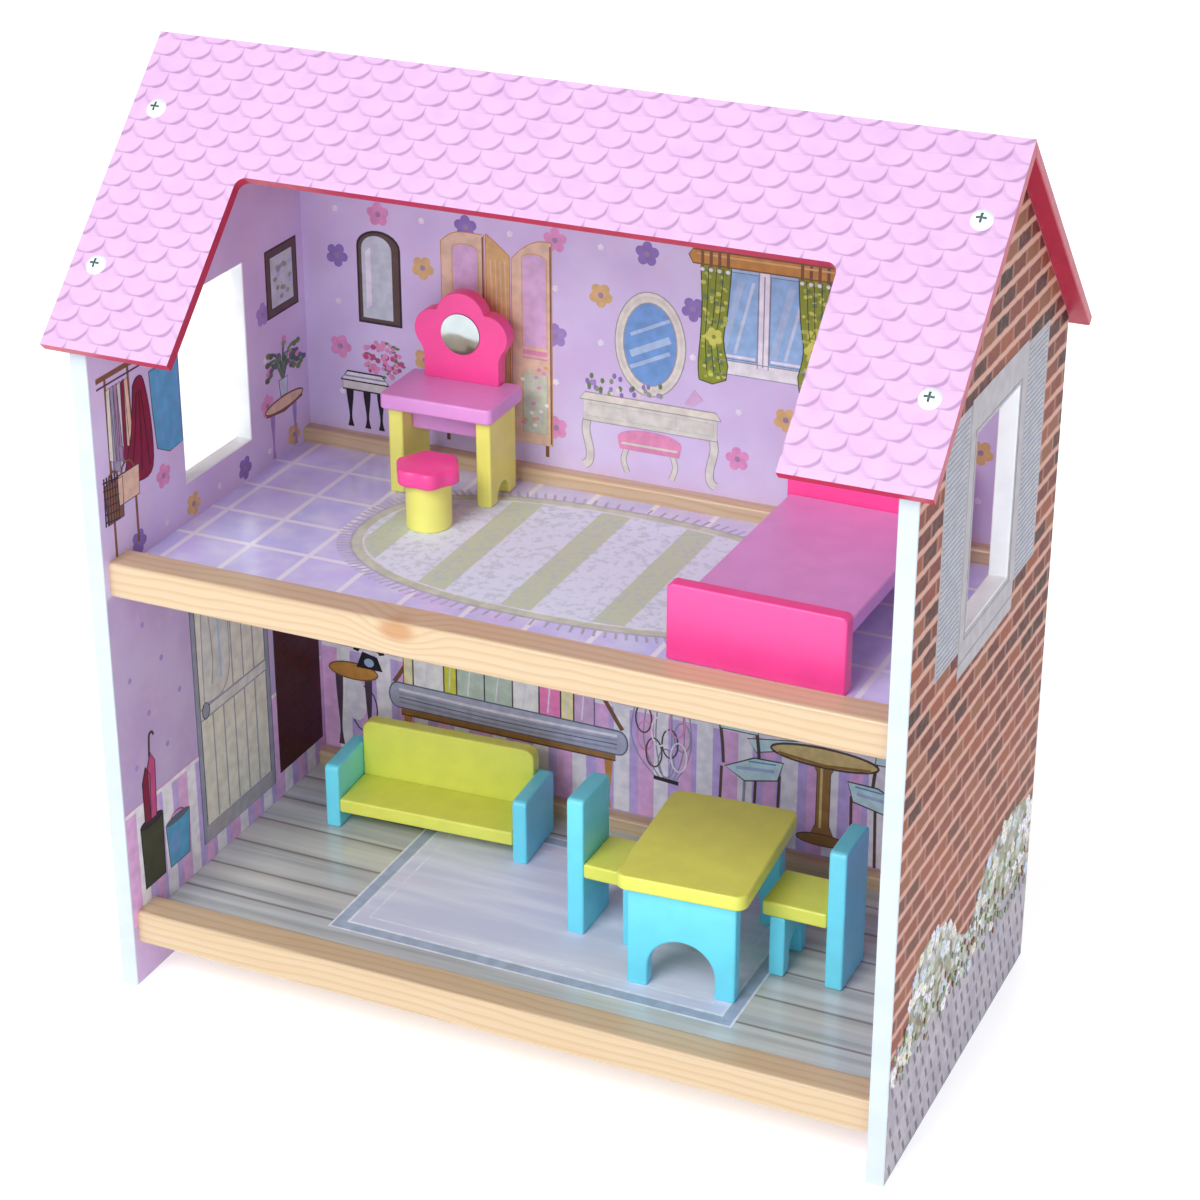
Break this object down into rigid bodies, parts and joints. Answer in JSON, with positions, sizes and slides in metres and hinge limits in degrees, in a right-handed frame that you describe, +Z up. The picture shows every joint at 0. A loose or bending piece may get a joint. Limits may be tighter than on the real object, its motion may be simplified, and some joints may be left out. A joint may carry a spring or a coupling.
{
  "type": "wooden dollhouse",
  "caption": "Open-fronted two-storey wooden dollhouse with a gabled roof, window holes in the end walls, printed boards and loose painted furniture that lifts out.",
  "frame": {"origin": "on the ground, midway between the side walls and under the ridge", "axes": "+Z up; +X to the right seen from the open front; the open front faces -Y; the ridge runs along X"},
  "size_m": [0.422, 0.2312, 0.46],
  "materials": {
    "wall_left": "printed paper on MDF, satin, pale cut edges",
    "wall_right": "printed paper on MDF, satin, pale cut edges",
    "roof_board": "printed pale pink face, crimson painted edges and underside",
    "pine": "clear varnished pine",
    "floor_upper": "printed hardboard, satin",
    "floor_lower": "printed hardboard, satin",
    "back_upper": "printed hardboard, satin",
    "back_lower": "printed hardboard, satin",
    "screw_white": "white coated",
    "dowel_wood": "plain",
    "paint_orchid": "satin paint on MDF",
    "paint_yellow": "satin paint on MDF",
    "paint_pink": "satin paint on MDF",
    "mirror_silver": "silvered",
    "paint_lime": "satin paint on MDF",
    "paint_cyan": "satin paint on MDF"
  },
  "bodies": {
    "house": {"left_wall": "wall_left", "right_wall": "wall_right", "roof_front": "roof_board", "roof_back": "roof_board", "upper_front_rail": "pine", "upper_back_rail": "pine", "lower_front_rail": "pine", "lower_back_rail": "pine", "upper_floor": "floor_upper", "lower_floor": "floor_lower", "upper_back_panel": "back_upper", "lower_back_panel": "back_lower", "front_roof_screws": "screw_white", "back_roof_screws": "screw_white", "left_rail_dowels": "dowel_wood", "right_rail_dowels": "dowel_wood"},
    "vanity": {"vanity_top": "paint_orchid", "vanity_left_leg": "paint_yellow", "vanity_right_leg": "paint_yellow", "vanity_apron": "paint_orchid", "vanity_mirror_board": "paint_pink", "vanity_mirror": "mirror_silver"},
    "stool": {"stool_seat": "paint_pink", "stool_base": "paint_yellow"},
    "bed": {"bed_platform": "paint_orchid", "bed_headboard": "paint_pink", "bed_footboard": "paint_pink"},
    "sofa": {"sofa_left_arm": "paint_cyan", "sofa_right_arm": "paint_cyan", "sofa_seat": "paint_lime", "sofa_back": "paint_lime"},
    "table": {"table_top": "paint_lime", "table_front_leg": "paint_cyan", "table_back_leg": "paint_cyan"},
    "left_chair": {"left_chair_back": "paint_cyan", "left_chair_seat": "paint_lime", "left_chair_leg": "paint_cyan"},
    "right_chair": {"right_chair_back": "paint_cyan", "right_chair_seat": "paint_lime", "right_chair_leg": "paint_cyan"}
  },
  "joints": [
    {"name": "vanity_out", "type": "slide", "parent": "house", "child": "vanity", "axis": [0, -0.9409, 0.3387], "range_m": [0, 0.2073]},
    {"name": "stool_out", "type": "slide", "parent": "vanity", "child": "stool", "axis": [0, -0.9409, 0.3387], "range_m": [0, 0.1647]},
    {"name": "bed_out", "type": "slide", "parent": "house", "child": "bed", "axis": [-0.1617, -0.8085, 0.5659], "range_m": [0, 0.235]},
    {"name": "sofa_out", "type": "slide", "parent": "house", "child": "sofa", "axis": [0, -0.9409, 0.3387], "range_m": [0, 0.2019]},
    {"name": "table_out", "type": "slide", "parent": "house", "child": "table", "axis": [0, -0.9409, 0.3387], "range_m": [0, 0.1701]},
    {"name": "left_chair_out", "type": "slide", "parent": "table", "child": "left_chair", "axis": [-1, 0, 0], "range_m": [0, 0.035]},
    {"name": "right_chair_out", "type": "slide", "parent": "table", "child": "right_chair", "axis": [1, 0, 0], "range_m": [0, 0.035]}
  ]
}
